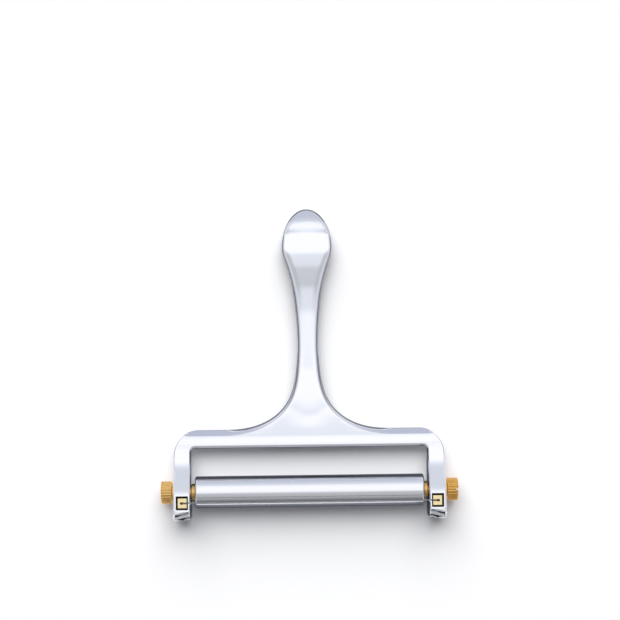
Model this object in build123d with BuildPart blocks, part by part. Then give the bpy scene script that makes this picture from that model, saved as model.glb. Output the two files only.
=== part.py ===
from build123d import *
import os

# Adjustable wire cheese slicer, lying on its back.
# +X runs along the roller, +Y along the handle towards its tip, +Z up.
# The origin is under the middle of the slicer, on the surface that it lies on.
# Places along the handle are counted from the roller's axis.

os.makedirs("parts", exist_ok=True)

# Cast frame from above
handle_reach = 124.4  # roller axis to handle tip
arm_drop = 12.1  # roller axis to the arms' ends
frame_half = 59.8  # middle to the outside of an arm
arm_width = 7.5
bar_under = 19.2  # roller axis to the crossbar's near side
bar_depth = 7.9
bar_corner = 11.0
window_corner = 1.75
foot_corner = 1.0
flare_half = 31.0  # where the handle's flare leaves the crossbar
flare_run = 9.0  # and how far outwards it goes on inside the crossbar
neck_share = 0.39  # the handle is narrowest this share of the way from the crossbar to its tip
neck_half = 4.35
bulb_length = 17.2  # the bulb's widest place to the tip
bulb_half = 10.9

# Cast frame from the side
table_gap = 1.0  # under the roller
tip_rise = 10.5  # roller axis to the front of the arms' tips
foot_front = 10.0  # front of the arms' ends, above the table
arm_flat_low = 6.6  # the arms' flat front reaches from here below the axis
arm_flat_high = 0.0  # to here above it
arm_slope = 15.2  # length of the slope from there to the crossbar's level
bar_rise = 0.9  # roller axis to the front of the crossbar
bar_thick = 6.2
neck_front = 8.0
neck_thick = 5.6
crest_length = 19.4  # the bulb's highest place to the tip
crest_front = 9.3
crest_thick = 7.4
end_front = 4.2
end_back = 0.7
rest_length = 7.0  # flat under the bulb, on which it lies
rest_end = 5.4  # that flat to the tip
pad_end = 10.0  # roller axis to the end of the arms' flat backs
pad_ramp = 6.0  # and from there to where the crossbar's back begins
handle_round = 2.2
handle_back_round = 1.4
bar_bevel = 2.5
edge_round = 0.8

# Roller
roller_diameter = 14.0
roller_end_gap = 1.9  # between each end and its arm
tube_wall = 1.2
tube_edge_round = 1.0
plug_length = 7.5
plug_recess = 0.5
boss_diameter = 7.5
boss_gap = 0.2  # between a boss and its arm

# Thumb screws
head_diameter = 10.0
head_length = 5.0
head_edge_round = 0.8
collar_diameter = 8.4
collar_length = 0.6
head_gap = 0.05  # between a screw's collar and its arm
shank_diameter = 5.0
pin_diameter = 4.0
pin_length = 9.0
pin_chamfer = 0.4
shank_gap = 0.1  # between the shank's end and the arm's inner wall
slot_width = 1.1
slot_depth = 1.0
left_slot_turn = 75  # degrees away from the front
right_slot_turn = 0
knurl_count = 22
knurl_side = 0.7

# Wire blocks and the pockets that they slide in
outer_wall = 1.2
inner_wall = 1.0
block_width = 4.1
block_inner_gap = 0.45
nose_height = 4.4
nose_chamfer = 0.2
block_reach = 4.0  # block body past the roller axis, towards the handle
block_back = 4.2  # block body behind the roller axis
block_front = 4.5  # block body in front of the roller axis
nose_set = 0.1  # the nose's face lies this far behind the arm's front
pocket_gap = 0.15
window_gap = 0.45  # over the nose, towards the handle
relief_width = 0.6  # of the step under each window, out to the arm's outer side
relief_depth = 1.2

# Cutting wire
wire_diameter = 0.5
wire_drop = 4.0  # below the roller axis
wire_rise = 9.5  # in front of the roller axis
bead_diameter = 1.0
bead_height = 1.2
bead_gap = 0.05
bead_room = 0.45  # room behind a bead for its block to slide
groove_gap = 0.1  # round the wire in its block
notch_gap = 0.25  # round the wire in the frame

# Running clearance of round fits, and the overrun of cuts
running_gap = 0.05
cut_over = 1.0

# Sizes that follow
axis_y = (arm_drop - handle_reach) / 2
axis_z = roller_diameter / 2 + table_gap
quarter_turn = 90
bulb_at = handle_reach - bulb_length
crest_at = handle_reach - crest_length
rest_to = handle_reach - rest_end
rest_from = rest_to - rest_length
root_half = flare_half + flare_run
root_at = bar_under + bar_depth / 2
bar_top = bar_under + bar_depth
neck_at = bar_top + neck_share * (handle_reach - bar_top)
window_half = frame_half - arm_width
roller_length = 2 * (window_half - roller_end_gap)
tip_front = axis_z + tip_rise
bar_front = axis_z + bar_rise
bar_back = bar_front - bar_thick
tube_bore = roller_diameter - 2 * tube_wall
pocket_out = frame_half - outer_wall
pocket_in = window_half + inner_wall
block_in = pocket_in + block_inner_gap
block_mid = block_in + block_width / 2
nose_front = tip_front - nose_set
nose_low = -wire_drop - nose_height / 2
nose_high = -wire_drop + nose_height / 2
wire_z = axis_z + wire_rise
wire_y = axis_y - wire_drop
pocket_low = nose_low - pocket_gap
pocket_high = block_reach + pocket_gap
pocket_roof = axis_z + block_front + pocket_gap
notch_width = wire_diameter + 2 * notch_gap
groove_width = wire_diameter + 2 * groove_gap
bead_x = block_mid
bead_floor = wire_z - bead_height / 2 - bead_gap
hole_width = bead_diameter + 2 * bead_gap
hole_length = bead_diameter + bead_gap + bead_room
wire_length = 2 * bead_x + bead_diameter
slice_gap = (wire_drop**2 + wire_rise**2) ** 0.5 - (roller_diameter + wire_diameter) / 2
plug_in = roller_length / 2 - plug_recess - plug_length
pin_end = window_half - pin_length
head_start = frame_half + head_gap + collar_length
pin_bore = pin_diameter + 2 * running_gap
shank_bore = shank_diameter + 2 * running_gap

# Handle outline: shares of the way from the crossbar to the neck, and from the neck to the bulb
flare_shares = ((0.492, 0.106), (0.709, 0.222), (0.829, 0.338), (0.942, 0.570), (0.983, 0.802))
swell_shares = ((0.130, 0.344), (0.420, 0.656), (0.786, 0.865))
# Arms and handle in depth: shares of the way along a stretch, and of its change in height
slope_shares = ((0.13, 0.07), (0.87, 0.94))
saddle_share = (0.47, 0.60)
rise_share = (0.59, 0.24)
brow_shares = ((0.43, 0.17), (0.73, 0.47))
level_share = 0.05  # a face whose normal leans less than this towards Z is a wall

# Planes through the roller axis: seen from above, and from the side
plan = Plane((0, axis_y, 0))
side = Plane((-frame_half, axis_y, 0), x_dir=(0, 1, 0), z_dir=(1, 0, 0))
wire_start = Plane((-wire_length / 2, wire_y, wire_z), x_dir=(0, 1, 0), z_dir=(1, 0, 0))


def between(start, end, shares):
    """Return the point that lies the given shares of the way from start to end."""
    return tuple(a + (b - a) * share for a, b, share in zip(start, end, shares))


def shared_edges(first, second):
    """Return the edges at which two groups of faces meet."""
    others = second.edges()
    return ShapeList(edge for edge in first.edges() if any(edge.is_same(other) for other in others))


def across(x, sign):
    """Return the plane across the roller axis at x on one side, facing outwards."""
    return Plane((sign * x, axis_y, axis_z), x_dir=(0, 1, 0), z_dir=(sign, 0, 0))


def box_sketch(near, far, low, high):
    """Add a rectangle to the current sketch, between two corners."""
    with Locations(((near + far) / 2, (low + high) / 2)):
        Rectangle(abs(far - near), abs(high - low))


# Handle: its lower end runs down into the crossbar
with BuildPart() as handle:
    with BuildSketch(plan):
        with BuildLine():
            neck_point = (neck_half, neck_at)
            bulb_point = (bulb_half, bulb_at)
            flare_point = (flare_half, bar_top)
            root_point = (root_half, root_at)
            Polyline((0, root_at), root_point)
            flare = [between(flare_point, neck_point, shares) for shares in flare_shares]
            Spline(root_point, flare_point, *flare, neck_point, tangents=((-1, 0.4), (0, 1)))
            swell = [between(neck_point, bulb_point, shares) for shares in swell_shares]
            Spline(neck_point, *swell, bulb_point, tangents=((0, 1), (0, 1)))
            EllipticalCenterArc(
                (0, bulb_at), bulb_half, bulb_length, start_angle=0, arc_size=quarter_turn
            )
            mirror(about=Plane.YZ)
        make_face()
    extrude(amount=tip_front)

    with BuildSketch(side):
        with BuildLine():
            root_high = (root_at, bar_front)
            bar_high = (bar_top, bar_front)
            neck_high = (neck_at, neck_front)
            crest = (crest_at, crest_front)
            end_high = (handle_reach, end_front)
            end_low = (handle_reach, end_back)
            neck_low = (neck_at, neck_front - neck_thick)
            crest_low = (crest_at, crest_front - crest_thick)
            bar_low = (bar_top, bar_back)
            Line(root_high, bar_high)
            Spline(
                bar_high,
                between(bar_high, neck_high, saddle_share),
                neck_high,
                between(neck_high, crest, rise_share),
                crest,
                *[between(crest, end_high, shares) for shares in brow_shares],
                end_high,
                tangents=((1, 0), (0.6, -1)),
            )
            Line(end_high, end_low)
            Spline(end_low, (rest_to, 0), tangents=((-1, -0.5), (-1, 0)))
            Line((rest_to, 0), (rest_from, 0))
            Spline((rest_from, 0), crest_low, neck_low, bar_low, tangents=((-1, 0), (-1, 0)))
            Polyline(bar_low, (root_at, bar_back), root_high)
        make_face()
    extrude(amount=2 * frame_half, mode=Mode.INTERSECT)

    walls = handle.faces().filter_by(lambda face: abs(face.normal_at().Z) < level_share)
    fronts = handle.faces().filter_by(lambda face: face.normal_at().Z > level_share)
    fillet(shared_edges(fronts, walls).filter_by(Axis.X, reverse=True), handle_round)
    walls = handle.faces().filter_by(lambda face: abs(face.normal_at().Z) < level_share)
    backs = handle.faces().filter_by(lambda face: face.normal_at().Z < -level_share)
    fillet(shared_edges(backs, walls).filter_by(Axis.X, reverse=True), handle_back_round)

# Cast frame: the crossbar and the two arms, joined to the handle in one casting
with BuildPart() as frame:
    with BuildSketch(plan):
        with BuildLine():
            FilletPolyline(
                (0, bar_under),
                (window_half, bar_under),
                (window_half, -arm_drop),
                (frame_half, -arm_drop),
                (frame_half, bar_top),
                (0, bar_top),
                radius=[window_corner, foot_corner, foot_corner, bar_corner],
            )
            mirror(about=Plane.YZ)
        make_face()
    extrude(amount=tip_front)

    with BuildSketch(side):
        with BuildLine():
            Line((-arm_drop, 0), (-arm_drop, foot_front))
            Spline(
                (-arm_drop, foot_front), (-arm_flat_low, tip_front), tangents=((0.5, 1), (1, 0))
            )
            Line((-arm_flat_low, tip_front), (arm_flat_high, tip_front))
            slope_end = (arm_flat_high + arm_slope, bar_front)
            slope_start = (arm_flat_high, tip_front)
            slope = [between(slope_start, slope_end, shares) for shares in slope_shares]
            Spline(slope_start, *slope, slope_end, tangents=((1, 0), (1, 0)))
            Polyline(
                slope_end,
                (bar_top - bar_bevel, bar_front),
                (bar_top, bar_front - bar_bevel),
                (bar_top, bar_back),
                (pad_end + pad_ramp, bar_back),
                (pad_end, 0),
                (-arm_drop, 0),
            )
        make_face()
    extrude(amount=2 * frame_half, mode=Mode.INTERSECT)

    walls = frame.faces().filter_by(lambda face: abs(face.normal_at().Z) < level_share)
    fronts = frame.faces().filter_by(lambda face: face.normal_at().Z > level_share)
    fillet(shared_edges(fronts, walls), edge_round)
    add(handle.part)

    for sign in (-1, 1):
        # Pocket for the wire block, open at the arm's back, and the window for its nose
        with BuildSketch(Plane((0, axis_y, -cut_over))):
            box_sketch(sign * pocket_in, sign * pocket_out, pocket_low, pocket_high)
        extrude(amount=cut_over + pocket_roof, mode=Mode.SUBTRACT)
        with BuildSketch(Plane((0, axis_y, pocket_roof))):
            box_sketch(sign * pocket_in, sign * pocket_out, pocket_low, nose_high + window_gap)
        extrude(amount=tip_front - pocket_roof + cut_over, mode=Mode.SUBTRACT)
        # Step under the window, out through the outer wall
        with BuildSketch(Plane((0, axis_y, tip_front - relief_depth))):
            relief_out = sign * (frame_half + cut_over)
            box_sketch(sign * pocket_in, relief_out, pocket_low - relief_width, pocket_low)
        extrude(amount=relief_depth + cut_over, mode=Mode.SUBTRACT)
        # Notch for the wire, from the pocket to the arm's inner side
        with BuildSketch(Plane((0, axis_y, wire_z - notch_width / 2))):
            notch_low = -wire_drop - notch_width / 2
            notch_high = -wire_drop + notch_width / 2
            box_sketch(sign * (window_half - cut_over), sign * pocket_in, notch_low, notch_high)
        extrude(amount=notch_width / 2 + cut_over + tip_rise - wire_rise, mode=Mode.SUBTRACT)
        # Bores for the thumb screw's pin and shank
        with BuildSketch(across(window_half, sign)):
            Circle(pin_bore / 2)
        extrude(amount=inner_wall, mode=Mode.SUBTRACT)
        with BuildSketch(across(pocket_out, sign)):
            Circle(shank_bore / 2)
        extrude(amount=outer_wall, mode=Mode.SUBTRACT)

frame.part.label = "frame"
export_step(frame.part, "parts/frame.step")

# Roller tube, with its ends rounded
with BuildPart() as roller_tube:
    with BuildSketch(across(-roller_length / 2, 1)):
        Circle(roller_diameter / 2)
        Circle(tube_bore / 2, mode=Mode.SUBTRACT)
    extrude(amount=roller_length)
    rims = roller_tube.edges().filter_by(GeomType.CIRCLE)
    fillet(rims.filter_by(lambda edge: edge.radius > tube_bore / 2 + tube_wall / 2), tube_edge_round)
roller_tube.part.label = "roller_tube"
export_step(roller_tube.part, "parts/roller_tube.step")

for name, sign, slot_turn in (("left", -1, left_slot_turn), ("right", 1, right_slot_turn)):
    # Roller bush: a plug in the tube's end, with a boss that nearly meets the arm
    with BuildPart() as bush:
        with BuildSketch(across(plug_in, sign)):
            Circle(tube_bore / 2)
        extrude(amount=plug_length)
        with BuildSketch(across(plug_in + plug_length, sign)):
            Circle(boss_diameter / 2)
        extrude(amount=window_half - boss_gap - plug_in - plug_length)
        with BuildSketch(across(plug_in, sign)):
            Circle(pin_bore / 2)
        extrude(amount=window_half - plug_in, mode=Mode.SUBTRACT)
    bush.part.label = f"{name}_roller_bush"
    export_step(bush.part, f"parts/{name}_roller_bush.step")

    # Wire block: the body round the screw's shank, and the nose that holds the wire's bead
    with BuildPart() as block:
        with BuildSketch(across(sign * block_mid, 1)):
            box_sketch(nose_low, block_reach, -block_back, block_front)
            box_sketch(nose_low, nose_high, -block_back, nose_front - axis_z)
            Circle(shank_bore / 2, mode=Mode.SUBTRACT)
        extrude(amount=block_width / 2, both=True)
        chamfer(block.edges().group_by(Axis.Z)[-1], nose_chamfer)
        with BuildSketch(Plane((0, axis_y, bead_floor))):
            with Locations((sign * (bead_x + (bead_room - bead_gap) / 2), -wire_drop)):
                SlotOverall(hole_length, hole_width)
        extrude(amount=tip_front - bead_floor, mode=Mode.SUBTRACT)
        with BuildSketch(Plane((0, axis_y, wire_z - groove_width / 2))):
            groove_low = -wire_drop - groove_width / 2
            groove_high = -wire_drop + groove_width / 2
            box_sketch(sign * (block_in - cut_over), sign * bead_x, groove_low, groove_high)
        extrude(amount=groove_width / 2 + tip_rise - wire_rise, mode=Mode.SUBTRACT)
    block.part.label = f"{name}_wire_block"
    export_step(block.part, f"parts/{name}_wire_block.step")

    # Thumb screw: knurled and slotted head, collar, shank and the pin that the roller turns on
    with BuildPart() as screw:
        with BuildSketch(across(pin_end, sign)):
            Circle(pin_diameter / 2)
        extrude(amount=pocket_in - pin_end + shank_gap)
        rims = screw.edges().filter_by(GeomType.CIRCLE).sort_by(lambda edge: sign * edge.center().X)
        chamfer(rims[0], pin_chamfer)
        with BuildSketch(across(pocket_in + shank_gap, sign)):
            Circle(shank_diameter / 2)
        extrude(amount=frame_half + head_gap - pocket_in - shank_gap)
        with BuildSketch(across(frame_half + head_gap, sign)):
            Circle(collar_diameter / 2)
        extrude(amount=collar_length)
        with BuildSketch(across(head_start, sign)):
            Circle(head_diameter / 2)
        extrude(amount=head_length)
        rims = screw.edges().filter_by(GeomType.CIRCLE).sort_by(lambda edge: sign * edge.center().X)
        fillet(rims[-1], head_edge_round)
        with BuildSketch(across(head_start, sign)):
            with PolarLocations(head_diameter / 2, knurl_count):
                Rectangle(knurl_side, knurl_side, rotation=45)
        extrude(amount=head_length, mode=Mode.SUBTRACT)
        with BuildSketch(across(head_start + head_length - slot_depth, sign)):
            Rectangle(slot_width, head_diameter, rotation=slot_turn)
        extrude(amount=slot_depth, mode=Mode.SUBTRACT)
    screw.part.label = f"{name}_thumb_screw"
    export_step(screw.part, f"parts/{name}_thumb_screw.step")

    # Bead crimped on the wire's end
    with BuildPart() as bead:
        with BuildSketch(Plane((sign * bead_x, axis_y - wire_drop, wire_z - bead_height / 2))):
            Circle(bead_diameter / 2)
        extrude(amount=bead_height)
        with BuildSketch(wire_start):
            Circle(wire_diameter / 2)
        extrude(amount=wire_length, mode=Mode.SUBTRACT)
    bead.part.label = f"{name}_wire_bead"
    export_step(bead.part, f"parts/{name}_wire_bead.step")

# Cutting wire, stretched from bead to bead
with BuildPart() as cutting_wire:
    with BuildSketch(wire_start):
        Circle(wire_diameter / 2)
    extrude(amount=wire_length)
cutting_wire.part.label = "cutting_wire"
export_step(cutting_wire.part, "parts/cutting_wire.step")

print("slice thickness", round(slice_gap, 2), "mm")
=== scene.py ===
import math
import bpy
import numpy as np
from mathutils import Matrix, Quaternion, Vector
from mathutils.kdtree import KDTree


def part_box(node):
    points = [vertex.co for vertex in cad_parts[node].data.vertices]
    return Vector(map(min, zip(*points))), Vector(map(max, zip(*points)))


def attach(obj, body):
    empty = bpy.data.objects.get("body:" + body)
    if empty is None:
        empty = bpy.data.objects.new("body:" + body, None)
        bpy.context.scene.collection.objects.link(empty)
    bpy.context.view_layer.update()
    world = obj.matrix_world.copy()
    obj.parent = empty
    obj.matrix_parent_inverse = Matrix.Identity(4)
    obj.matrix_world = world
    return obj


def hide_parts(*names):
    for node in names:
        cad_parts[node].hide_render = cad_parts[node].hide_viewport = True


# Wire cheese slicer, lying on its back with the wire side up.
# Sizes are in millimetres, unless a note says otherwise. Places along the handle are counted from the
# roller's axis.

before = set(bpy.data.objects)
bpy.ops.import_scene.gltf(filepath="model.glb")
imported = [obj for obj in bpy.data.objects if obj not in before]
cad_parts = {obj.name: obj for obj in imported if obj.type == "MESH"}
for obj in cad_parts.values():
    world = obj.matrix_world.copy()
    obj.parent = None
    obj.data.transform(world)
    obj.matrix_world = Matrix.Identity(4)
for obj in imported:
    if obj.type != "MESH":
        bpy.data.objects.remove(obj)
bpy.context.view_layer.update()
mm = 0.001
hair = 0.01  # too small to see, for tests of place and for cuts that have to meet
weld = 0.001  # points nearer than this become one
facing = 0.9  # how squarely a face's normal points the way that a test asks for

tubeLow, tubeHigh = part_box("roller_tube")
axisY = (tubeLow.y + tubeHigh.y) / 2 / mm
axisZ = (tubeLow.z + tubeHigh.z) / 2 / mm


def place(x, along, height):  # millimetres from the roller's axis to metres in the frame
    return Vector((x * mm, (axisY + along) * mm, height * mm))


def only(piece):  # leaves just this piece selected, in object mode
    if bpy.context.mode != "OBJECT":
        bpy.ops.object.mode_set(mode="OBJECT")
    bpy.ops.object.select_all(action="DESELECT")
    piece.select_set(True)
    bpy.context.view_layer.objects.active = piece


def settle(piece):  # puts the piece's place into its mesh
    only(piece)
    bpy.ops.object.transform_apply(location=True, rotation=True, scale=True)


def pickFaces(piece, test):  # opens the piece with just the faces that pass the test selected
    only(piece)
    bpy.ops.object.mode_set(mode="EDIT")
    bpy.ops.mesh.select_mode(type="FACE")
    bpy.ops.mesh.select_all(action="DESELECT")
    bpy.ops.object.mode_set(mode="OBJECT")
    for face in piece.data.polygons:
        if test(face.center / mm, face.normal):
            face.select = True
    bpy.ops.object.mode_set(mode="EDIT")


def applyModifier(piece, kind, **settings):
    only(piece)
    modifier = piece.modifiers.new(kind.title(), kind)
    for name, value in settings.items():
        setattr(modifier, name, value)
    bpy.ops.object.modifier_apply(modifier=modifier.name)


def smoothEdges(piece, bevelWidth=0.0, angle=40, segments=3):  # small bevels and even shading
    only(piece)
    bpy.ops.object.shade_smooth_by_angle(angle=math.radians(angle))
    if bevelWidth:
        applyModifier(
            piece, "BEVEL", width=bevelWidth * mm, segments=segments, limit_method="ANGLE",
            angle_limit=math.radians(angle), use_clamp_overlap=True, harden_normals=False,
        )
    bpy.ops.object.shade_smooth_by_angle(angle=math.radians(angle))
    applyModifier(piece, "WEIGHTED_NORMAL", keep_sharp=True)


def cutWith(piece, cutter):
    applyModifier(piece, "BOOLEAN", operation="DIFFERENCE", object=cutter, solver="EXACT")
    bpy.data.objects.remove(cutter, do_unlink=True)


def boxBetween(low, high):  # a box between two corners given as x, place along the handle, height
    lowest, highest = place(*low), place(*high)
    bpy.ops.object.select_all(action="DESELECT")
    bpy.ops.mesh.primitive_cube_add(size=1, location=(lowest + highest) / 2)
    cutter = bpy.context.object
    cutter.scale = [abs(side) for side in highest - lowest]
    settle(cutter)
    return cutter


def roundBar(start, end, radius, sides=48):  # a round cutter along the roller's axis
    bpy.ops.object.select_all(action="DESELECT")
    bpy.ops.mesh.primitive_cylinder_add(
        vertices=sides, radius=radius * mm, depth=abs(end - start) * mm,
        location=place((start + end) / 2, 0, axisZ), rotation=(0, math.radians(90), 0),
    )
    settle(bpy.context.object)
    return bpy.context.object


def turned(name, profile, sides, closed):  # a profile of (x, radius) points spun round the roller's axis
    bpy.ops.object.select_all(action="DESELECT")
    bpy.ops.mesh.primitive_circle_add(vertices=len(profile), radius=mm, fill_type="NOTHING")
    piece = bpy.context.object
    piece.name = name
    settle(piece)
    for vertex, (x, radius) in zip(piece.data.vertices, profile):
        vertex.co = place(x, 0, axisZ + radius)
    bpy.ops.object.mode_set(mode="EDIT")
    if not closed:  # the profile starts and ends on the axis, so its last edge is left out
        bpy.ops.mesh.select_mode(type="EDGE")
        bpy.ops.mesh.select_all(action="DESELECT")
        bpy.ops.object.mode_set(mode="OBJECT")
        last = len(profile) - 1
        for edge in piece.data.edges:
            edge.select = set(edge.vertices) == {0, last}
        bpy.ops.object.mode_set(mode="EDIT")
        bpy.ops.mesh.delete(type="EDGE")
    bpy.ops.mesh.select_mode(type="VERT")
    bpy.ops.mesh.select_all(action="SELECT")
    bpy.ops.mesh.spin(steps=sides, angle=2 * math.pi, center=place(0, 0, axisZ), axis=(1, 0, 0))
    bpy.ops.mesh.select_all(action="SELECT")
    bpy.ops.mesh.remove_doubles(threshold=weld * mm)
    bpy.ops.mesh.normals_make_consistent(inside=False)
    bpy.ops.object.mode_set(mode="OBJECT")
    return piece


def quarterRound(x, radius, corner, sign, steps=5):  # profile points round an outer edge towards +x or -x
    return [
        (x - sign * corner * (1 - math.sin(turn)), radius - corner * (1 - math.cos(turn)))
        for turn in (math.pi / 2 * step / steps for step in range(steps + 1))
    ]


def finished(piece, body, slotName, material, *nodes):
    piece.data.materials.clear()
    piece.data.materials.append(material)
    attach(piece, body)
    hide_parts(*nodes)


# Materials

def tone(red, green, blue):  # a colour as a picture shows it, for a socket
    def linear(value):
        value = value / 255
        return value / 12.92 if value <= 0.04045 else ((value + 0.055) / 1.055) ** 2.4
    return (linear(red), linear(green), linear(blue), 1)


wearNoise = {"grainDetail": 4, "patchDetail": 3, "least": 0.12, "most": 0.40}


def buildFineWear(noise):  # grain drawn out in one direction, which varies roughness and height
    group = bpy.data.node_groups.new("fineWear", "ShaderNodeTree")
    group.interface.new_socket("Vector", in_out="INPUT", socket_type="NodeSocketVector")
    for name in ("Grain", "Patches", "Smooth", "Rough"):
        group.interface.new_socket(name, in_out="INPUT", socket_type="NodeSocketFloat")
    for name in ("Roughness", "Height", "Patch"):
        group.interface.new_socket(name, in_out="OUTPUT", socket_type="NodeSocketFloat")
    nodes, links = group.nodes, group.links
    start = nodes.new("NodeGroupInput")
    end = nodes.new("NodeGroupOutput")
    grain = nodes.new("ShaderNodeTexNoise")
    patches = nodes.new("ShaderNodeTexNoise")
    mixed = nodes.new("ShaderNodeMath")
    spread = nodes.new("ShaderNodeMapRange")
    grain.inputs["Detail"].default_value = noise["grainDetail"]
    patches.inputs["Detail"].default_value = noise["patchDetail"]
    mixed.operation = "MULTIPLY"
    spread.inputs["From Min"].default_value = noise["least"]
    spread.inputs["From Max"].default_value = noise["most"]
    links.new(start.outputs["Vector"], grain.inputs["Vector"])
    links.new(start.outputs["Vector"], patches.inputs["Vector"])
    links.new(start.outputs["Grain"], grain.inputs["Scale"])
    links.new(start.outputs["Patches"], patches.inputs["Scale"])
    links.new(grain.outputs["Fac"], mixed.inputs[0])
    links.new(patches.outputs["Fac"], mixed.inputs[1])
    links.new(mixed.outputs["Value"], spread.inputs["Value"])
    links.new(start.outputs["Smooth"], spread.inputs["To Min"])
    links.new(start.outputs["Rough"], spread.inputs["To Max"])
    links.new(spread.outputs["Result"], end.inputs["Roughness"])
    links.new(grain.outputs["Fac"], end.inputs["Height"])
    links.new(patches.outputs["Fac"], end.inputs["Patch"])
    return group


fineWear = buildFineWear(wearNoise)


def buildBoxMask():  # 1 inside a box and inside its mirror images, else 0
    group = bpy.data.node_groups.new("boxMask", "ShaderNodeTree")
    for name in ("Vector", "Centre", "Half"):
        group.interface.new_socket(name, in_out="INPUT", socket_type="NodeSocketVector")
    group.interface.new_socket("Inside", in_out="OUTPUT", socket_type="NodeSocketFloat")
    nodes, links = group.nodes, group.links
    start = nodes.new("NodeGroupInput")
    end = nodes.new("NodeGroupOutput")
    reached = start.outputs["Vector"]
    steps = (("ABSOLUTE", None), ("SUBTRACT", "Centre"), ("ABSOLUTE", None), ("DIVIDE", "Half"))
    for operation, other in steps:
        change = nodes.new("ShaderNodeVectorMath")
        change.operation = operation
        links.new(reached, change.inputs[0])
        if other:
            links.new(start.outputs[other], change.inputs[1])
        reached = change.outputs["Vector"]
    parts = nodes.new("ShaderNodeSeparateXYZ")
    links.new(reached, parts.inputs["Vector"])
    largest = parts.outputs["X"]
    for axis in ("Y", "Z"):
        larger = nodes.new("ShaderNodeMath")
        larger.operation = "MAXIMUM"
        links.new(largest, larger.inputs[0])
        links.new(parts.outputs[axis], larger.inputs[1])
        largest = larger.outputs["Value"]
    inside = nodes.new("ShaderNodeMath")
    inside.operation = "LESS_THAN"
    inside.inputs[1].default_value = 1
    links.new(largest, inside.inputs[0])
    links.new(inside.outputs["Value"], end.inputs["Inside"])
    return group


boxMask = buildBoxMask()


def insideBox(tree, coordinates, box, colour):  # mixes in another colour where the box mask is 1
    centre, half = box
    mask = tree.nodes.new("ShaderNodeGroup")
    mask.node_tree = boxMask
    mask.inputs["Centre"].default_value = [abs(side) for side in place(*centre)]
    mask.inputs["Half"].default_value = [side * mm for side in half]
    mix = tree.nodes.new("ShaderNodeMix")
    mix.data_type = "RGBA"
    mix.inputs["B"].default_value = tone(*colour)
    tree.links.new(coordinates.outputs["Object"], mask.inputs["Vector"])
    tree.links.new(mask.outputs["Inside"], mix.inputs["Factor"])
    return mix


def metal(name, look):  # a metal whose colour, roughness and height follow its wear; where a box is given, painted shade darkens the colour inside it
    material = bpy.data.materials.new(name)
    material.use_nodes = True
    nodes, links = material.node_tree.nodes, material.node_tree.links
    shader = nodes["Principled BSDF"]
    shader.inputs["Metallic"].default_value = 1
    coordinates = nodes.new("ShaderNodeTexCoord")
    stretch = nodes.new("ShaderNodeMapping")
    stretch.inputs["Scale"].default_value = look["stretch"]
    wear = nodes.new("ShaderNodeGroup")
    wear.node_tree = fineWear
    for socket in ("Grain", "Patches", "Smooth", "Rough"):
        wear.inputs[socket].default_value = look[socket.lower()]
    colours = nodes.new("ShaderNodeMix")
    colours.data_type = "RGBA"
    colours.inputs["A"].default_value = tone(*look["dark"])
    colours.inputs["B"].default_value = tone(*look["light"])
    bump = nodes.new("ShaderNodeBump")
    bump.inputs["Strength"].default_value = look["bump"]
    bump.inputs["Distance"].default_value = look["depth"] * mm
    links.new(coordinates.outputs["Object"], stretch.inputs["Vector"])
    links.new(stretch.outputs["Vector"], wear.inputs["Vector"])
    links.new(wear.outputs["Patch"], colours.inputs["Factor"])
    colour = colours.outputs["Result"]
    if "paintedShadeBox" in look:  # painted shade: the inside of a narrow pocket is painted dark for the shade that falls there
        darkened = insideBox(material.node_tree, coordinates, look["paintedShadeBox"], look["paintedShadeColour"])
        links.new(colour, darkened.inputs["A"])
        colour = darkened.outputs["Result"]
    links.new(colour, shader.inputs["Base Color"])
    links.new(wear.outputs["Roughness"], shader.inputs["Roughness"])
    links.new(wear.outputs["Height"], bump.inputs["Height"])
    links.new(bump.outputs["Normal"], shader.inputs["Normal"])
    return material


polishedChrome = metal("polishedChrome", {
    "light": (253, 253, 255), "dark": (247, 248, 252), "smooth": 0.03, "rough": 0.09,
    "grain": 900, "patches": 60, "stretch": (1, 1, 1), "bump": 0.04, "depth": 0.02,
    # painted shade inside the arms' pockets: the middle of the painted box and half its size, then the
    # shade's colour
    "paintedShadeBox": ((55.95, -3.95, 9.0), (2.67, 3.02, 9.3)), "paintedShadeColour": (46, 42, 38),
})
satinSteel = metal("satinSteel", {
    "light": (250, 250, 254), "dark": (243, 244, 249), "smooth": 0.14, "rough": 0.20,
    "grain": 300, "patches": 40, "stretch": (0.15, 3, 3), "bump": 0.05, "depth": 0.02,
})
turnedFinish = {  # the wear that both turned brasses share
    "smooth": 0.24, "rough": 0.38, "grain": 700, "patches": 260, "stretch": (3, 0.4, 0.4),
    "bump": 0.25, "depth": 0.05,
}
turnedBrass = metal("turnedBrass", {"light": (247, 205, 132), "dark": (233, 182, 105), **turnedFinish})
# a darker copy of the turned brass for the right screw: painted shade, as that knob is darker in the light
# from the left
paintedShadeBrass = metal("paintedShadeBrass", {"light": (240, 190, 108), "dark": (224, 166, 84), **turnedFinish})
milledBrass = metal("milledBrass", {
    "light": (255, 240, 190), "dark": (254, 230, 172), "smooth": 0.22, "rough": 0.36,
    "grain": 900, "patches": 320, "stretch": (0.4, 3, 1), "bump": 0.2, "depth": 0.04,
    # painted shade on the block's sides below the nose top, for the shade in the deep gap: the middle of
    # the box, half its size, and the shade's colour
    "paintedShadeBox": ((55.8, -1.0, 9.0), (2.3, 6.0, 9.12)), "paintedShadeColour": (84, 62, 34),
})
drawnSteel = metal("drawnSteel", {
    "light": (190, 191, 195), "dark": (150, 152, 158), "smooth": 0.16, "rough": 0.30,
    "grain": 800, "patches": 200, "stretch": (0.1, 4, 4), "bump": 0.1, "depth": 0.01,
})
# the bead's dark brown stands in for the shade in its hole: painted shade
paintedShadeBead = metal("paintedShadeBead", {
    "light": (150, 120, 88), "dark": (104, 80, 56), "smooth": 0.3, "rough": 0.5,
    "grain": 900, "patches": 500, "stretch": (1, 1, 1), "bump": 0.2, "depth": 0.02,
})
print("materials ready")


# Cast frame: handle, crossbar and the two arms

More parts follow.
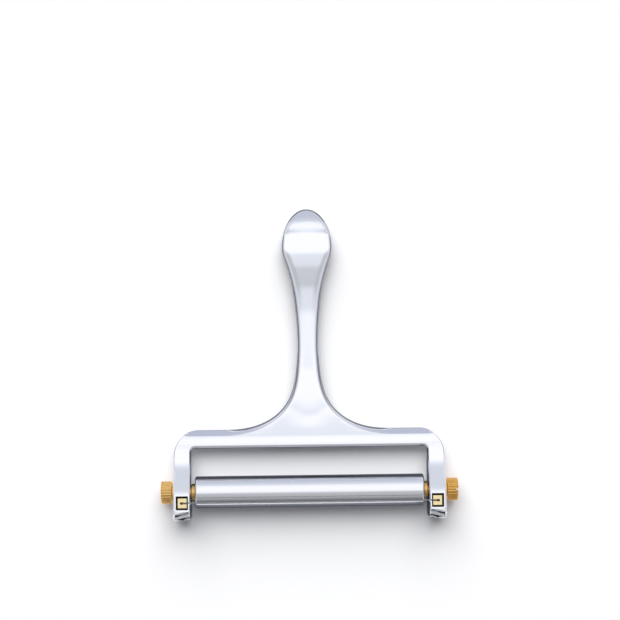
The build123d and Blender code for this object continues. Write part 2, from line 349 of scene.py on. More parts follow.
castFrame = {
    "handleReach": 124.4, "armDrop": 12.1, "frameHalf": 59.8, "windowHalf": 52.3,
    "barUnder": 19.2, "barTop": 27.1, "barCorner": 11.0, "windowCorner": 1.75, "footCorner": 1.0,
    "bulbAt": 107.2, "bulbHalf": 10.9, "flareHalf": 37.0,
    "swell": [(10.9, 107.2), (9.5, 101.5), (7.1, 92.7), (5.2, 79.5), (4.35, 65.0)],
    "flare": [(4.35, 65.0), (4.8, 57.5), (5.9, 48.7), (8.9, 39.9), (12.1, 35.5), (17.9, 31.1),
              (26.0, 28.1), (37.0, 27.1)],
    # how many degrees the front leans towards the tip, at places along the handle
    "leans": [(-13.2, 0), (-11.9, 0), (-11.7, -58), (-10.6, -58), (-10.4, 2), (-9.9, 2), (-9.7, -54),
              (-8.4, -54), (-8.2, 0), (-7.8, 2.6), (-1.8, 2.6), (-0.8, 20), (0.3, 28), (1.2, 31),
              (10.4, 31), (11.4, 28.5), (12.4, 26), (13.4, 22), (14.6, 12), (16.6, 4), (20.0, 3.3),
              (22.9, 2.7), (24.2, 1.1), (25.5, 0.6), (26.9, 0.1), (28.2, 0.9), (29.5, 2.4), (32.5, 2.4),
              (33.5, 0), (34.8, 0.1), (36.1, 0.7), (38.5, 1.4), (40.1, 2.1), (52.0, 2.0), (55.5, 0.3),
              (77.0, 0.2), (81.0, -1.9), (88.5, -2.2), (91.0, -4.3), (98.0, -4.3), (99.5, -2.6),
              (104.0, -2.4), (106.5, 2), (111.5, 4), (113.0, 12), (113.9, 24), (115.2, 24), (116.6, 15),
              (118.2, 20), (119.2, 25), (120.2, 36), (122.0, 39), (124.4, 40)],
    "tipFront": 18.5, "leanStep": 0.1,
    # how the bands of the front are skewed across the feet and the arms, and bent across tip and flare
    "footTwist": 0.25, "footTop": -7.4, "footFade": 0.8, "armMiddle": 56.05,
    "armTwist": 0.35, "armTwistRise": (5.0, 10.0), "tipDome": 0.02, "tipDomeRise": (112.0, 118.0),
    "saddle": 5.0, "saddleWide": 50.0, "saddleRise": (26.0, 36.0), "saddleFade": (44.0, 56.0),
    # from, to and step of the cuts across the front and back, and of the cuts along the bent places
    "bandCuts": [(-11.8, -6.6, 0.2), (-6.0, 20.0, 1.0), (20.5, 124.0, 1.0)],
    "footCuts": (52.4, 60.0, 0.6), "tipCuts": (-9.0, 9.1, 1.5), "saddleCuts": (-15.0, 15.1, 1.5),
    "footCutsTop": -6.5,
    "padRamp": [(10.0, 0.0), (16.0, 2.7)],
    "handleBack": [(27.1, 2.7), (65.0, 2.4), (105.0, 1.9), (112.0, 0.0)],
    "tipBack": [(119.0, 0.0), (124.4, 0.7)], "tipBackWay": (1, 0.5), "backStep": 0.4,
    "outlineStep": 1.0, "tipSteps": 30, "cornerSteps": 22, "footSteps": 6, "nookSteps": 8,
    # rounding of the front edge: how far it reaches in, how deep it falls, and its fullness
    "atTip": (1.0, 0.4, 2.0), "atBulb": (3.0, 1.0, 2.0), "underBulb": (4.2, 1.7, 2.0),
    "atNeck": (3.4, 1.3, 2.0), "atFlare": (1.8, 1.8, 1.5), "atBevel": (2.4, 2.4, 1.0),
    "atArm": (0.8, 0.8, 2.0), "underBar": (1.4, 1.4, 2.0), "leastRise": 0.3,
    "backRound": 1.4, "backArm": 0.6, "backFull": 2,
    # the blank's height and rings, and how near a face or point lies to a level that it belongs to
    "blank": 10.0, "frontRings": 9, "backRings": 5, "levelGap": 0.3, "edgeAngle": 32,
}


def smoothLine(points, startWay, endWay, step):  # an even curve through the points, with set end directions
    points = np.array(points, float)
    gaps = np.linalg.norm(np.diff(points, axis=0), axis=1)
    count = len(points)
    matrix, target = np.zeros((count, count)), np.zeros((count, 2))
    matrix[0, 0] = matrix[-1, -1] = 1
    target[0] = np.array(startWay) / np.linalg.norm(startWay)
    target[-1] = np.array(endWay) / np.linalg.norm(endWay)
    for i in range(1, count - 1):
        before, after = gaps[i - 1], gaps[i]
        matrix[i, i - 1], matrix[i, i], matrix[i, i + 1] = after, 2 * (before + after), before
        target[i] = 3 * (
            before / after * (points[i + 1] - points[i]) + after / before * (points[i] - points[i - 1])
        )
    ways = np.linalg.solve(matrix, target)
    line = []
    for i in range(count - 1):
        steps = max(2, round(gaps[i] / step))
        for t in np.arange(steps) / steps:
            line.append(
                (1 + 2 * t) * (1 - t) ** 2 * points[i] + t * (1 - t) ** 2 * gaps[i] * ways[i]
                + t * t * (3 - 2 * t) * points[i + 1] + t * t * (t - 1) * gaps[i] * ways[i + 1]
            )
    line.append(points[-1])
    return np.array(line)


def arcLine(centre, radius, start, end, steps):  # angles in degrees from +x
    turns = np.radians(np.linspace(start, end, steps + 1))
    return np.array(centre) + radius * np.column_stack([np.cos(turns), np.sin(turns)])


def straightLine(start, end, step):
    steps = max(1, round(math.dist(start, end) / step))
    return np.linspace(start, end, steps + 1)


def armLine(x, low, high, step):  # a side of an arm, with its points at whole steps of the way along
    between = np.arange(math.ceil(low + step / 4), high - step / 4, step)
    return np.array([(x, low), *[(x, along) for along in between], (x, high)])


def frameOutline(size):  # the right half from the tip to the middle of the window, then the left half
    step = size["outlineStep"]
    corner, foot, nook = size["barCorner"], size["footCorner"], size["windowCorner"]
    outer, inner, low = size["frameHalf"], size["windowHalf"], -size["armDrop"]
    turns = np.radians(np.linspace(90, 0, size["tipSteps"] + 1))
    tip = np.column_stack([
        size["bulbHalf"] * np.cos(turns),
        size["bulbAt"] + (size["handleReach"] - size["bulbAt"]) * np.sin(turns),
    ])
    swell = smoothLine(size["swell"], (0, -1), (0, -1), step)
    flare = smoothLine(size["flare"], (0, -1), (1, 0), step)
    cornerMiddle = (outer - corner, size["barTop"] - corner)
    cornerArc = arcLine(cornerMiddle, corner, 90, 0, size["cornerSteps"])
    barTop = straightLine((size["flareHalf"], size["barTop"]), (cornerMiddle[0], size["barTop"]), step)
    outerFoot, innerFoot = (outer - foot, low + foot), (inner + foot, low + foot)
    nookMiddle = (inner - nook, size["barUnder"] - nook)
    arm, bevel, under = size["atArm"], size["atBevel"], size["underBar"]
    runs = [  # each stretch, and the rounding at even steps along it
        (tip, [size["atTip"], size["atBulb"]]),
        (swell, [size["atBulb"], size["underBulb"], size["atNeck"]]),
        (flare, [size["atNeck"], size["atFlare"], bevel]),
        (barTop, [bevel, bevel]),
        (cornerArc, None),
        (armLine(outer, low + foot, cornerMiddle[1], step)[::-1], [arm, arm]),
        (arcLine(outerFoot, foot, 0, -90, size["footSteps"]), [arm, arm]),
        (straightLine((outer - foot, low), (inner + foot, low), step), [arm, arm]),
        (arcLine(innerFoot, foot, -90, -180, size["footSteps"]), [arm, arm]),
        (armLine(inner, low + foot, nookMiddle[1], step), [arm, arm]),
        (arcLine(nookMiddle, nook, 0, 90, size["nookSteps"]), [arm, under]),
        (straightLine((nookMiddle[0], size["barUnder"]), (0, size["barUnder"]), step), [under, under]),
    ]
    points, rounds = [], []
    for line, styles in runs:
        if styles is None:  # the crossbar's top bevel runs level, so the corner narrows it to a wedge
            rise = (line[:, 1] - cornerMiddle[1]) / corner
            wide = corner - (corner - bevel[0]) / rise.clip(size["leastRise"])
            deep = corner * rise - (corner - bevel[1])
            wide, deep = np.maximum(wide, arm[0]), np.maximum(deep, arm[0])
            style = np.column_stack([wide, deep, np.where(wide > arm[0], bevel[2], arm[2])])
        else:
            share, knots = np.linspace(0, 1, len(line)), np.linspace(0, 1, len(styles))
            style = np.column_stack([np.interp(share, knots, column) for column in zip(*styles)])
        points.extend(line[:-1])
        rounds.extend(style[:-1])
    points.append(runs[-1][0][-1])
    rounds.append(np.array(under, float))
    mirrored = [np.array((-x, y)) for x, y in points[-2:0:-1]]
    points, rounds = np.array(points + mirrored), np.array(rounds + rounds[-2:0:-1])
    return points[::-1], rounds[::-1]  # counter-clockwise from above


def leaningLine(leans, step):  # place along and height of a surface that leans by these angles
    along = np.arange(leans[0][0], leans[-1][0] + step, step)
    slopes = np.tan(np.radians(np.interp(along, *np.transpose(leans))))
    falls = (slopes[1:] + slopes[:-1]) / 2 * step
    return along, -np.concatenate([[0], np.cumsum(falls)])


def eased(value, low, high):  # rises smoothly from 0 at low to 1 at high
    share = min(max((value - low) / (high - low), 0), 1)
    return share * share * (3 - 2 * share)


def frameHeights(size):  # heights of the front and the back at each place along the handle
    frontAlong, frontFall = leaningLine(size["leans"], size["leanStep"])
    frontFall += size["tipFront"] - frontFall.max()
    back = np.vstack([
        np.array([(-size["armDrop"], 0), *size["padRamp"]]),
        smoothLine(size["handleBack"], (1, 0), (1, 0), size["backStep"]),
        smoothLine(size["tipBack"], (1, 0), size["tipBackWay"], size["backStep"]),
    ])

    def frontHeight(x, along):
        inFoot = eased(size["footTop"] - along, 0, size["footFade"])
        onTip = eased(along, *size["tipDomeRise"])
        onSaddle = eased(along, *size["saddleRise"]) * (1 - eased(along, *size["saddleFade"]))
        shifted = along - inFoot * size["footTwist"] * (size["armMiddle"] - abs(x))
        if abs(x) > size["windowHalf"]:
            onArm = eased(along, *size["armTwistRise"])
            shifted += onArm * size["armTwist"] * (size["armMiddle"] - abs(x))
        shifted += onTip * size["tipDome"] * x ** 2
        shifted -= onSaddle * size["saddle"] * (1 - math.exp(-x ** 2 / size["saddleWide"]))
        return min(np.interp(shifted, frontAlong, frontFall), size["tipFront"])

    return frontHeight, lambda along: max(np.interp(along, back[:, 0], back[:, 1]), 0)


def frameBlank(outline, size):  # the outline drawn up, with thin inset rings on its front and back
    bpy.ops.object.select_all(action="DESELECT")
    bpy.ops.mesh.primitive_circle_add(vertices=len(outline), radius=mm, fill_type="NGON")
    piece = bpy.context.object
    piece.name = "castFrame"
    settle(piece)
    for vertex, (x, along) in zip(piece.data.vertices, outline):
        vertex.co = place(x, along, 0)
    bpy.ops.object.mode_set(mode="EDIT")
    bpy.ops.mesh.select_mode(type="FACE")
    bpy.ops.mesh.select_all(action="SELECT")
    bpy.ops.mesh.extrude_region_move(TRANSFORM_OT_translate={"value": (0, 0, size["blank"] * mm)})
    bpy.ops.mesh.select_all(action="SELECT")
    bpy.ops.mesh.normals_make_consistent(inside=False)
    # each ring is 1 mm further out than the last, which tells them apart until they get their places
    for up, rings in ((1, size["frontRings"]), (-1, size["backRings"])):
        pickFaces(piece, lambda centre, normal: normal.z * up > facing)
        for ring in range(rings):
            bpy.ops.mesh.inset(thickness=hair * mm, depth=mm, use_even_offset=True)
    bpy.ops.object.mode_set(mode="OBJECT")
    return piece


def roundRings(piece, outline, rounds, size):  # moves the rings in, and keeps how far each point falls
    ways = np.roll(outline, -1, axis=0) - np.roll(outline, 1, axis=0)
    ways /= np.linalg.norm(ways, axis=1)[:, None]
    inward = np.column_stack([-ways[:, 1], ways[:, 0]])
    finder = KDTree(len(outline))
    for i, (x, along) in enumerate(outline):
        finder.insert((x, along, 0), i)
    finder.balance()
    drops = []  # under the front, or over the back
    for vertex in piece.data.vertices:
        point = vertex.co / mm
        nearest = finder.find((point.x, point.y - axisY, 0))[1]
        wide, deep, full = rounds[nearest]
        if point.z > size["blank"] / 2:
            ring, rings = round(point.z - size["blank"]), size["frontRings"]
        else:
            ring, rings = round(-point.z), size["backRings"]
            armLike = wide <= size["atArm"][0] + hair
            wide = deep = size["backArm"] if armLike else min(size["backRound"], deep)
            full = size["backFull"]
        turn = math.pi / 2 * ring / rings
        inset = wide * (1 - math.cos(turn) ** (2 / full))
        drops.append(deep * (1 - math.sin(turn) ** (2 / full)))
        x, along = outline[nearest] + inward[nearest] * inset
        vertex.co.x, vertex.co.y = place(x, along, 0).xy
    kept = piece.data.attributes.new("drop", "FLOAT", "POINT")
    kept.data.foreach_set("value", drops)


def levels(size):  # where the flat middle of the front and of the back lie in the blank
    return size["blank"] + size["frontRings"], -size["backRings"]


def cutBands(piece, size):  # cuts the flat middle of both sides, so that it can follow the heights
    front, back = levels(size)
    gap = size["levelGap"]
    for steps in size["bandCuts"]:
        for along in np.arange(*steps):
            pickFaces(piece, lambda centre, normal: min(abs(centre.z - front), abs(centre.z - back)) < gap)
            bpy.ops.mesh.bisect(plane_co=place(0, along, 0), plane_no=(0, 1, 0))
    patches = [  # where the front bends across as well, and is cut along
        (size["footCuts"], (-1, 1), -size["armDrop"], size["footCutsTop"]),
        (size["tipCuts"], (1,), size["tipDomeRise"][0], size["handleReach"]),
        (size["saddleCuts"], (1,), size["saddleRise"][0], size["saddleFade"][1]),
    ]
    for steps, signs, low, high in patches:
        for x in np.arange(*steps):
            for sign in signs:
                pickFaces(
                    piece,
                    lambda centre, normal: abs(centre.z - front) < gap and low < centre.y - axisY < high,
                )
                bpy.ops.mesh.bisect(plane_co=place(sign * x, 0, 0), plane_no=(1, 0, 0))
    bpy.ops.object.mode_set(mode="OBJECT")


def raiseSides(piece, size):  # gives every point the height of the front or the back, less its fall
    frontHeight, backHeight = frameHeights(size)
    front, back = levels(size)
    drops = np.zeros(len(piece.data.vertices))
    piece.data.attributes["drop"].data.foreach_get("value", drops)
    for vertex, drop in zip(piece.data.vertices, drops):
        point = vertex.co / mm
        along = point.y - axisY
        if point.z > size["blank"] / 2:
            if point.z > front - size["levelGap"]:
                drop = 0
            vertex.co.z = (frontHeight(point.x, along) - drop) * mm
        else:
            if point.z < back + size["levelGap"]:
                drop = 0
            vertex.co.z = (backHeight(along) + drop) * mm
    piece.data.attributes.remove(piece.data.attributes["drop"])


def makeFrame(size):
    outline, rounds = frameOutline(size)
    piece = frameBlank(outline, size)
    roundRings(piece, outline, rounds, size)
    cutBands(piece, size)
    raiseSides(piece, size)
    return piece


castPiece = makeFrame(castFrame)
print("cast frame shaped", len(castPiece.data.polygons), "faces")

pockets = {
    "inner": 53.3, "outer": 58.6, "low": -6.35, "high": 4.15, "roof": 12.65, "windowHigh": -0.95,
    "reliefWide": 0.6, "reliefDeep": 1.2, "notchWide": 1.0, "wireAt": -4.0, "wireHeight": 17.5,
    "pinBore": 4.1, "shankBore": 5.1, "over": 1.0,
}


def cutPockets(piece, size, cast):
    over, top, low = size["over"], cast["tipFront"], size["low"]
    half = size["notchWide"] / 2
    for sign in (-1, 1):
        inner, outer = sign * size["inner"], sign * size["outer"]
        outside, inside = sign * (cast["frameHalf"] + over), sign * (cast["windowHalf"] - over)
        cutWith(piece, boxBetween((inner, low, -over), (outer, size["high"], size["roof"])))
        cutWith(piece, boxBetween(
            (inner, low, size["roof"] - hair), (outer, size["windowHigh"], top + over),
        ))
        cutWith(piece, boxBetween(
            (inner, low - size["reliefWide"], top - size["reliefDeep"]), (outside, low + hair, top + over),
        ))
        cutWith(piece, boxBetween(
            (inside, size["wireAt"] - half, size["wireHeight"] - half),
            (inner + sign * hair, size["wireAt"] + half, top + over),
        ))
        cutWith(piece, roundBar(inside, inner + sign * over, size["pinBore"] / 2))
        cutWith(piece, roundBar(outer - sign * over, outside, size["shankBore"] / 2))


cutPockets(castPiece, pockets, castFrame)
smoothEdges(castPiece, angle=castFrame["edgeAngle"])
finished(castPiece, "frame_body", "cast_frame", polishedChrome, "frame")
print("cast frame done", len(castPiece.data.polygons), "faces")


# Roller tube and its two bushes

roller = {
    "radius": 7.0, "bore": 5.8, "half": 50.4, "rim": 1.0, "rimSteps": 6, "edge": 0.12, "sides": 160,
}
bush = {
    "plugRadius": 5.8, "plugStart": 42.4, "plugEnd": 49.9, "bossRadius": 3.75, "bossEnd": 52.1,
    "bore": 2.05, "lip": 0.3, "edge": 0.1, "sides": 96,
}


def makeTube(size):
    half, radius, bore = size["half"], size["radius"], size["bore"]
    right = quarterRound(half, radius, size["rim"], 1, size["rimSteps"])[::-1]
    left = [(-x, r) for x, r in right[::-1]]
    profile = [(half, bore), *right, *left, (-half, bore)]
    piece = turned("rollerTube", profile, size["sides"], True)
    smoothEdges(piece, size["edge"])
    return piece


def makeBush(name, sign, size):
    lip = size["lip"]
    profile = [
        (sign * x, radius) for x, radius in (
            (size["plugStart"], size["bore"]), (size["plugStart"], size["plugRadius"]),
            (size["plugEnd"], size["plugRadius"]), (size["plugEnd"], size["bossRadius"]),
            (size["bossEnd"] - lip, size["bossRadius"]), (size["bossEnd"], size["bossRadius"] - lip),
            (size["bossEnd"], size["bore"]),
        )
    ]
    piece = turned(name, profile, size["sides"], True)
    smoothEdges(piece, size["edge"])
    return piece


finished(makeTube(roller), "roller", "roller_steel", satinSteel, "roller_tube")
for side, sign in (("left", -1), ("right", 1)):
    piece = makeBush(f"{side}RollerBush", sign, bush)
    finished(piece, "roller", "bush_brass", turnedBrass, f"{side}_roller_bush")
print("roller done")


# Thumb screws

screw = {
    "pinEnd": 43.3, "pinRadius": 2.0, "pinChamfer": 0.4, "shankStart": 53.4, "shankRadius": 2.5,
    "collarStart": 59.85, "collarRadius": 4.2, "headStart": 60.45, "headEnd": 65.44, "headRadius": 5.0,
    "headRound": 0.8, "heelRound": 0.35, "ridges": 22, "ridgeDepth": 0.2, "ridgePower": 3,
    "slotWide": 1.1, "slotDeep": 1.0, "leftSlotTurn": 75, "rightSlotTurn": 0,  # turns in degrees
    "edge": 0.08, "edgeAngle": 38, "edgeSteps": 2, "over": 1.0, "sides": 176,
}


def makeScrew(name, sign, slotTurn, size):
    outerRim = quarterRound(size["headEnd"], size["headRadius"], size["headRound"], 1)
    heel = size["heelRound"]
    profile = [
        (size["pinEnd"], 0), (size["pinEnd"], size["pinRadius"] - size["pinChamfer"]),
        (size["pinEnd"] + size["pinChamfer"], size["pinRadius"]), (size["shankStart"], size["pinRadius"]),
        (size["shankStart"], size["shankRadius"]), (size["collarStart"], size["shankRadius"]),
        (size["collarStart"], size["collarRadius"]), (size["headStart"], size["collarRadius"]),
        (size["headStart"], size["headRadius"] - heel), (size["headStart"] + heel, size["headRadius"]),
        *outerRim, (size["headEnd"], 0),
    ]
    piece = turned(name, [(sign * x, radius) for x, radius in profile], size["sides"], False)
    for vertex in piece.data.vertices:  # ridges along the head, fading out on its rounded end
        point = vertex.co / mm
        y, z = point.y - axisY, point.z - axisZ
        radius = math.hypot(y, z)
        if abs(point.x) > size["headStart"] - hair and radius > size["collarRadius"] + hair:
            wave = 0.5 - 0.5 * math.cos(size["ridges"] * math.atan2(z, y))
            share = 1 - size["ridgeDepth"] * wave ** size["ridgePower"] / size["headRadius"]
            vertex.co = place(point.x, y * share, axisZ + z * share)
    half, reach = size["slotWide"] / 2, size["headRadius"] + size["over"]
    slot = boxBetween(
        (sign * (size["headEnd"] - size["slotDeep"]), -half, axisZ - reach),
        (sign * (size["headEnd"] + size["over"]), half, axisZ + reach),
    )
    only(slot)
    bpy.ops.transform.rotate(
        value=math.radians(slotTurn), orient_axis="X", center_override=place(0, 0, axisZ),
    )
    settle(slot)
    cutWith(piece, slot)
    smoothEdges(piece, size["edge"], size["edgeAngle"], size["edgeSteps"])
    return piece


# the right screw gets the darker brass copy, which is painted shade
for side, sign, brass in (("left", -1, turnedBrass), ("right", 1, paintedShadeBrass)):
    piece = makeScrew(f"{side}ThumbScrew", sign, screw[f"{side}SlotTurn"], screw)
    finished(piece, f"{side}_screw", "screw_brass", brass, f"{side}_thumb_screw")
print("thumb screws done")


# Wire blocks, and the wire with a bead at each end

block = {
    "inner": 53.75, "outer": 57.85, "low": -6.2, "noseHigh": -1.8, "high": 4.0,
    "bottom": 3.8, "bodyTop": 12.5, "noseTop": 18.4, "faceFall": 0.22, "bore": 2.55,
    "bead": 0.55, "beadAt": 55.8, "beadRoom": 0.45, "beadFloor": 16.85, "beadCut": 4.0, "beadSides": 32,
    "groove": 0.7, "wireAt": -4.0, "wireHeight": 17.5, "bevel": 0.2, "holeBevel": 0.06, "holeSteps": 2,
    "over": 1.0,
}
wire = {
    "radius": 0.25, "half": 56.3, "sides": 24, "tipRound": 0.08, "tipSteps": 3,
    "beadRadius": 0.5, "beadHalf": 0.6, "beadEdge": 0.18, "beadSteps": 4, "beadSides": 32,
}


def upright(sides, radius, depth, middle):  # a round bar that stands upright round its middle
    bpy.ops.object.select_all(action="DESELECT")
    bpy.ops.mesh.primitive_cylinder_add(
        vertices=sides, radius=radius * mm, depth=depth * mm, location=middle,
    )
    settle(bpy.context.object)
    return bpy.context.object


def makeBlock(name, sign, size):
    over = size["over"]
    piece = boxBetween(
        (sign * size["inner"], size["low"], size["bottom"]),
        (sign * size["outer"], size["high"], size["bodyTop"]),
    )
    piece.name = name
    pickFaces(piece, lambda centre, normal: True)
    bpy.ops.mesh.bisect(plane_co=place(0, size["noseHigh"], 0), plane_no=(0, 1, 0))
    pickFaces(
        piece,
        lambda centre, normal: normal.z > facing and centre.y - axisY < size["noseHigh"],
    )
    rise = size["noseTop"] - size["bodyTop"]
    bpy.ops.mesh.extrude_region_move(TRANSFORM_OT_translate={"value": (0, 0, rise * mm)})
    bpy.ops.object.mode_set(mode="OBJECT")
    corner = place(0, size["noseHigh"] - hair, size["noseTop"] - hair)
    for vertex in piece.data.vertices:  # the nose's face falls towards the tip
        if vertex.co.z > corner.z and vertex.co.y > corner.y:
            vertex.co.z -= size["faceFall"] * mm
    smoothEdges(piece, size["bevel"])
    cutWith(piece, roundBar(sign * (size["inner"] - over), sign * (size["outer"] + over), size["bore"]))
    for x in (size["beadAt"], size["beadAt"] + size["beadRoom"]):
        middle = place(sign * x, size["wireAt"], size["beadFloor"] + size["beadCut"] / 2)
        cutWith(piece, upright(size["beadSides"], size["bead"], size["beadCut"], middle))
    half = size["groove"] / 2
    cutWith(piece, boxBetween(
        (sign * (size["inner"] - over), size["wireAt"] - half, size["wireHeight"] - half),
        (sign * size["beadAt"], size["wireAt"] + half, size["noseTop"] + over),
    ))
    smoothEdges(piece, size["holeBevel"], segments=size["holeSteps"])
    return piece


def makeBead(name, sign, size, seat):
    middle = place(sign * seat["beadAt"], seat["wireAt"], seat["wireHeight"])
    piece = upright(size["beadSides"], size["beadRadius"], 2 * size["beadHalf"], middle)
    piece.name = name
    smoothEdges(piece, size["beadEdge"], segments=size["beadSteps"])
    return piece


def makeWire(size, seat):
    tip = quarterRound(size["half"], size["radius"], size["tipRound"], 1, size["tipSteps"])[::-1]
    otherTip = [(-x, radius) for x, radius in tip[::-1]]
    profile = [(size["half"], 0), *tip, *otherTip, (-size["half"], 0)]
    piece = turned("cuttingWire", profile, size["sides"], False)
    for vertex in piece.data.vertices:
        vertex.co += place(0, seat["wireAt"], seat["wireHeight"]) - place(0, 0, axisZ)
    smoothEdges(piece)
    return piece


for side, sign in (("left", -1), ("right", 1)):
    piece = makeBlock(f"{side}WireBlock", sign, block)
    finished(piece, f"{side}_block", "block_brass", milledBrass, f"{side}_wire_block")
    piece = makeBead(f"{side}WireBead", sign, wire, block)
    finished(piece, "frame_body", "wire_steel", paintedShadeBead, f"{side}_wire_bead")
finished(makeWire(wire, block), "frame_body", "wire_steel", drawnSteel, "cutting_wire")
print("blocks and wire done")


# Floor, surroundings and camera

studio = {
    # what the metal mirrors of the floor, painted darker as painted shade in the reflections only, as
    # middle, half size and colour: darker between the arms, and darkest just before the feet
    "mirrored": [((0.0, 55.0, 0.0), (56.0, 130.0, 5.0), (118, 121, 128)),
                 ((57.0, -60.0, 0.0), (7.0, 28.0, 5.0), (22, 22, 25))],
    "floor": (252, 252, 253), "floorSize": 3.0,  # in metres
    "floorDrop": 0.2, "floorRough": 0.9, "floorShine": 0.1,
    "strength": 1.04, "onMatt": 0.36,
    # what surrounds the slicer, by angle from straight up: below 0 towards the arms' ends, above 0
    # towards the tip
    "sky": [(-180, (80, 80, 82)), (-100, (66, 66, 68)), (-80, (70, 70, 72)), (-72, (95, 95, 97)),
            (-64, (122, 123, 125)), (-52, (152, 153, 155)), (-40, (174, 175, 177)), (-25, (180, 181, 183)),
            (-11, (186, 188, 191)), (-7.5, (198, 201, 206)), (-4, (222, 226, 233)), (-1, (241, 244, 251)),
            (2, (253, 254, 255)), (34, (255, 255, 255)), (44, (246, 248, 254)), (51, (229, 233, 244)),
            (58, (209, 214, 223)), (68, (205, 210, 218)), (78, (194, 198, 213)), (90, (184, 188, 208)),
            (105, (140, 144, 160)), (120, (112, 115, 125)), (180, (80, 80, 82))],
    # and to both sides, by how far the direction points sideways
    "sides": [(0.3, (240, 242, 248)), (0.5, (226, 228, 236)), (0.7, (205, 207, 220)),
              (0.85, (150, 152, 165)), (0.95, (90, 92, 100)), (1, (70, 72, 78))],
    "sideFrom": 0.3, "sideFull": 0.75,
}
shot = {
    "distance": 1000, "aimX": 1.08, "aimAlong": 79.74, "aimHeight": 11, "aside": -1.0, "roll": -0.67,
    "across": 272.7, "sensor": 36, "clip": (0.01, 20.0),  # clip in metres
}
lamp = {"strength": 3.5, "spread": 64, "towards": (0.08, -0.95, -1), "at": (0, 0.3, 0.6)}  # at: metres


def colourRamp(nodes, stops):  # rising places, each with a colour; the last place is 1
    ramp = nodes.new("ShaderNodeValToRGB")
    elements = ramp.color_ramp.elements
    elements.remove(elements[0])
    for position, colour in stops[:-1]:
        elements.new(position).color = tone(*colour)
    elements[len(elements) - 1].color = tone(*stops[-1][1])
    return ramp


def makeWorld(look):
    world = bpy.data.worlds.new("studio")
    bpy.context.scene.world = world
    world.use_nodes = True
    nodes, links = world.node_tree.nodes, world.node_tree.links
    background = nodes["Background"]
    coordinates = nodes.new("ShaderNodeTexCoord")
    parts = nodes.new("ShaderNodeSeparateXYZ")
    pitch = nodes.new("ShaderNodeMath")
    pitch.operation = "ARCTAN2"
    toShare = nodes.new("ShaderNodeMapRange")
    toShare.inputs["From Min"].default_value = -math.pi
    toShare.inputs["From Max"].default_value = math.pi
    sky = colourRamp(nodes, [((angle + 180) / 360, colour) for angle, colour in look["sky"]])
    sideways = nodes.new("ShaderNodeMath")
    sideways.operation = "ABSOLUTE"
    sides = colourRamp(nodes, look["sides"])
    sideShare = nodes.new("ShaderNodeMapRange")
    sideShare.interpolation_type = "SMOOTHSTEP"
    sideShare.inputs["From Min"].default_value = look["sideFrom"]
    sideShare.inputs["From Max"].default_value = look["sideFull"]
    mixed = nodes.new("ShaderNodeMix")
    mixed.data_type = "RGBA"
    path = nodes.new("ShaderNodeLightPath")
    strength = nodes.new("ShaderNodeMapRange")  # less of it reaches matt surfaces, which the lamp lights
    strength.inputs["To Min"].default_value = look["strength"]
    strength.inputs["To Max"].default_value = look["onMatt"]
    links.new(coordinates.outputs["Generated"], parts.inputs["Vector"])
    links.new(parts.outputs["Y"], pitch.inputs[0])
    links.new(parts.outputs["Z"], pitch.inputs[1])
    links.new(pitch.outputs["Value"], toShare.inputs["Value"])
    links.new(toShare.outputs["Result"], sky.inputs["Fac"])
    links.new(parts.outputs["X"], sideways.inputs[0])
    links.new(sideways.outputs["Value"], sides.inputs["Fac"])
    links.new(sideways.outputs["Value"], sideShare.inputs["Value"])
    links.new(sideShare.outputs["Result"], mixed.inputs["Factor"])
    links.new(sky.outputs["Color"], mixed.inputs["A"])
    links.new(sides.outputs["Color"], mixed.inputs["B"])
    links.new(mixed.outputs["Result"], background.inputs["Color"])
    links.new(path.outputs["Is Diffuse Ray"], strength.inputs["Value"])
    links.new(strength.outputs["Result"], background.inputs["Strength"])


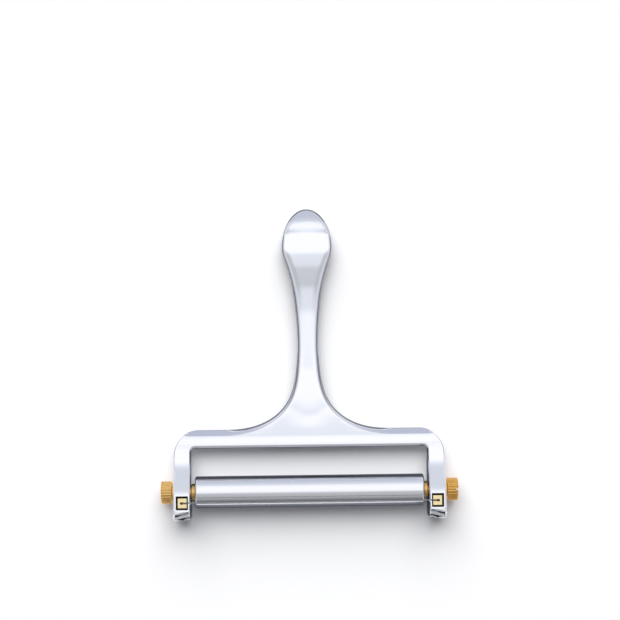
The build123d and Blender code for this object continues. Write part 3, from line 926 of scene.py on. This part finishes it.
def makeFloor(look):
    bpy.ops.object.select_all(action="DESELECT")
    bpy.ops.mesh.primitive_plane_add(size=look["floorSize"], location=(0, 0, -look["floorDrop"] * mm))
    floor = bpy.context.object
    floor.name = "floor"
    settle(floor)
    material = bpy.data.materials.new("paleFloor")
    material.use_nodes = True
    nodes, links = material.node_tree.nodes, material.node_tree.links
    shader = nodes["Principled BSDF"]
    path = nodes.new("ShaderNodeLightPath")
    seen = nodes.new("ShaderNodeMix")  # painted shade for reflections only: polished metal mirrors a darker floor than the pale one behind it
    seen.data_type = "RGBA"
    seen.inputs["A"].default_value = tone(*look["floor"])
    coordinates = nodes.new("ShaderNodeTexCoord")
    reached = seen.inputs["B"]
    for centre, half, colour in look["mirrored"][::-1]:
        patch = insideBox(material.node_tree, coordinates, (centre, half), colour)
        patch.inputs["A"].default_value = tone(*look["floor"])
        links.new(patch.outputs["Result"], reached)
        reached = patch.inputs["A"]
    links.new(path.outputs["Is Glossy Ray"], seen.inputs["Factor"])
    links.new(seen.outputs["Result"], shader.inputs["Base Color"])
    shader.inputs["Roughness"].default_value = look["floorRough"]
    shader.inputs["Specular IOR Level"].default_value = look["floorShine"]
    floor.data.materials.append(material)


def makeCamera(look):
    data = bpy.data.cameras.new("camera")
    camera = bpy.data.objects.new("camera", data)
    bpy.context.scene.collection.objects.link(camera)
    bpy.context.scene.camera = camera
    data.sensor_width = look["sensor"]
    data.lens = look["sensor"] * look["distance"] / look["across"]
    aim = place(look["aimX"], look["aimAlong"], look["aimHeight"])
    lean = math.radians(look["aside"])
    back = Vector((math.sin(lean), 0, math.cos(lean)))
    camera.location = aim + back * look["distance"] * mm
    camera.rotation_mode = "QUATERNION"
    roll = Quaternion((0, 0, 1), math.radians(look["roll"]))
    camera.rotation_quaternion = Quaternion((0, 1, 0), lean) @ roll
    data.clip_start, data.clip_end = look["clip"]


def makeLamp(look):  # a broad soft lamp above the handle, which the metal doesn't mirror
    bpy.ops.object.select_all(action="DESELECT")
    bpy.ops.object.light_add(type="SUN", location=look["at"])
    softLamp = bpy.context.object
    softLamp.name = "softLamp"
    softLamp.data.energy = look["strength"]
    softLamp.data.angle = math.radians(look["spread"])
    softLamp.rotation_mode = "QUATERNION"
    softLamp.rotation_quaternion = Vector(look["towards"]).to_track_quat("-Z", "Y")
    softLamp.visible_glossy = False


makeWorld(studio)
makeFloor(studio)
makeLamp(lamp)
makeCamera(shot)
bpy.context.scene.view_settings.view_transform = "Standard"
print("floor, surroundings and camera ready")
